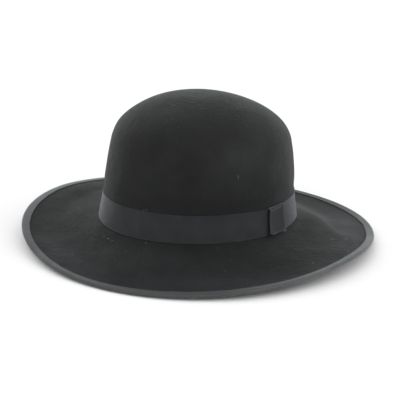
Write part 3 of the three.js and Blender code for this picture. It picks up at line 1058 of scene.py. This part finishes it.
# %% [markdown]
# ## Grosgrain
# The band and the keeper are the same ribbon, the binding is a greyer, softer one. Ribbon is
# smoother than felt, so it has more gloss along the ribs and brighter edges towards the outline.
# Some light is painted into the colour as well: shade in the valleys between ribs, a highlight
# along the band's and the keeper's selvedges, sheen at the binding's left and right ends, and
# shade over the keeper, whose copy of the ribbon is darker.

# %% Ribbons
VALLEY_SHADE, VALLEY_SHARE = 0.45, 0.7    # painted shade: tone of the valleys between ribs, and how much it shows
SELVEDGE_SHARE, RIBBON_DUST, RIBBON_FUZZ = 0.8, 0.3, 0.15
ROUGHNESS_SWING, RIB_STRENGTH = 0.06, 0.6
SIDE_SHEEN_FROM, SIDE_SHEEN_TO = 0.1, 0.155    # how far to the side the painted sheen makes a ribbon paler, metres


def grosgrain(name, dark, light, pitch, depth, width, edge, pale, painted_side_sheen=None, **constants):
    """Ribbon cloth: its width, its selvedge, how pale that is painted, and painted sheen at left
    and right.
    """
    made, tree, inputs = new_material(name, **constants)
    uv = add(tree, "UVMap", uv_map="ribbon").outputs[0]
    place = add(tree, "TexCoord").outputs["Object"]
    cloth = use_group(tree, ribs, {"UV": uv, "Pitch": pitch, "Width": width, "Edge": edge})
    fuzz = use_group(tree, nap, {"Vector": place, "Hair Scale": 1500.0})
    flecks = use_group(tree, dust, {"Vector": place, "Scale": 210.0, "Rarity": 0.9})["Mask"]
    tone = maths(tree, "MULTIPLY", maths(tree, "ADD", cloth["Cloud"], fuzz["Cloud"]), 0.5)
    colour = mixed(tree, tone, dark, light)
    # painted shade in the valleys between ribs
    painted_valley_shade = tuple(VALLEY_SHADE * c for c in dark)
    # a pale above 1 paints a highlight along the selvedge, as on the band and the keeper; the
    # binding's pale below 1 makes its selvedge darker
    painted_selvedge_tone = tuple(pale * c for c in light)
    for mask, share, other in (
        (cloth["Valley"], VALLEY_SHARE, painted_valley_shade),
        (cloth["Selvedge"], SELVEDGE_SHARE, painted_selvedge_tone),
        (flecks, RIBBON_DUST, DUST_GREY),
    ):
        colour = mixed(tree, maths(tree, "MULTIPLY", mask, share), colour, other)
    # painted sheen: the ribbon's colour grows paler towards the hat's left and right ends
    if painted_side_sheen:
        x = add(tree, "SeparateXYZ", {"Vector": place}).outputs["X"]
        left, right = (span(tree, x, side * SIDE_SHEEN_FROM, side * SIDE_SHEEN_TO, 0, gain)
                       for side, gain in zip((-1, 1), painted_side_sheen))
        painted_light = maths(tree, "ADD", left, right)
        colour = scaled(tree, colour, maths(tree, "ADD", painted_light, 1.0))
    tree.links.new(colour, inputs["Base Color"])
    rough = constants["roughness"]
    ends = rough + ROUGHNESS_SWING, rough - ROUGHNESS_SWING
    tree.links.new(span(tree, cloth["Cloud"], 0.0, 1.0, *ends), inputs["Roughness"])
    height = maths(tree, "MULTIPLY_ADD", fuzz["Hair"], RIBBON_FUZZ, cloth["Height"])
    bumped(tree, inputs, height, RIB_STRENGTH, depth)
    return made


band_cloth = grosgrain(
    "band_grosgrain", dark=(0.0086, 0.0096, 0.0106), light=(0.0127, 0.0142, 0.0157),
    pitch=0.0008, depth=0.00012, width=0.0246, edge=0.0007, pale=1.6,
    roughness=0.78, specular_ior_level=0.38, sheen_weight=0.56, sheen_roughness=0.3,
    sheen_tint=(0.88, 0.92, 1.0, 1),
)
binding_cloth = grosgrain(
    "binding_grosgrain", dark=(0.0275, 0.0298, 0.0308), light=(0.0385, 0.0412, 0.0425),
    pitch=0.0007, depth=0.0001, width=0.0166, edge=0.0028, pale=0.75, painted_side_sheen=(1.8, 1.0),
    roughness=0.55, specular_ior_level=0.48, sheen_weight=0.4, sheen_roughness=0.3,
    sheen_tint=(0.88, 0.94, 0.98, 1),
)
band.data.materials.append(band_cloth)
# the keeper is the band's ribbon painted darker, as painted shade, with a stronger painted
# highlight along its edges and folds
shaded_keeper_cloth = grosgrain(
    "keeper_grosgrain", dark=(0.0068, 0.0078, 0.009), light=(0.0108, 0.0123, 0.014),
    pitch=0.0008, depth=0.00012, width=0.03, edge=0.0016, pale=2.4,
    roughness=0.78, specular_ior_level=0.38, sheen_weight=0.5, sheen_roughness=0.3,
    sheen_tint=(0.84, 0.92, 1.0, 1),
)
keeper.data.materials.append(shaded_keeper_cloth)
binding.data.materials.append(binding_cloth)

# %% Thread and lint
THREAD_DARK, THREAD_LIGHT = (0.035, 0.037, 0.038), (0.09, 0.094, 0.095)
LINT_DARK, LINT_LIGHT = (0.18, 0.185, 0.18), (0.42, 0.43, 0.42)

thread_cloth, tree, inputs = new_material(
    "keeper_thread", roughness=0.6, sheen_weight=0.3, sheen_roughness=0.4)
place = add(tree, "TexCoord").outputs["Object"]
twist = add(tree, "TexWave", {"Vector": place, "Scale": 900.0, "Distortion": 1.0}).outputs["Fac"]
tree.links.new(mixed(tree, twist, THREAD_DARK, THREAD_LIGHT), inputs["Base Color"])
bumped(tree, inputs, twist, 0.5, 0.0001)
stitches.data.materials.append(thread_cloth)

lint_cloth, tree, inputs = new_material(
    "pale_lint", roughness=0.9, sheen_weight=0.2, sheen_roughness=0.5)
place = add(tree, "TexCoord").outputs["Object"]
shade = noisy(tree, place, 60.0, detail=2.0)
colour = mixed(tree, span(tree, shade, 0.35, 0.65), LINT_DARK, LINT_LIGHT)
tree.links.new(colour, inputs["Base Color"])
tree.links.new(span(tree, shade, 0.0, 1.0, 0.95, 0.75), inputs["Roughness"])
lint.data.materials.append(lint_cloth)

# %% [markdown]
# ## The floor
# A pale paper floor with a breath of grain. It only has to show where the brim touches.

# %% Floor paper
PAPER_DARK, PAPER_LIGHT = (0.9, 0.9, 0.9), (0.93, 0.93, 0.93)

paper, tree, inputs = new_material("pale_floor", roughness=0.85, specular_ior_level=0.1)
place = add(tree, "TexCoord").outputs["Object"]
grain = noisy(tree, place, 90.0, detail=3.0)
tree.links.new(mixed(tree, grain, PAPER_DARK, PAPER_LIGHT), inputs["Base Color"])
floor.data.materials.append(paper)

# %% [markdown]
# ## Close
# The sizes of the CAD box and of the dressed hat are printed side by side.

# %% Sizes
seen_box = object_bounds()
for corner, other in zip(cad_box, seen_box):
    print("box", [round(v, 4) for v in corner], [round(v, 4) for v in other])
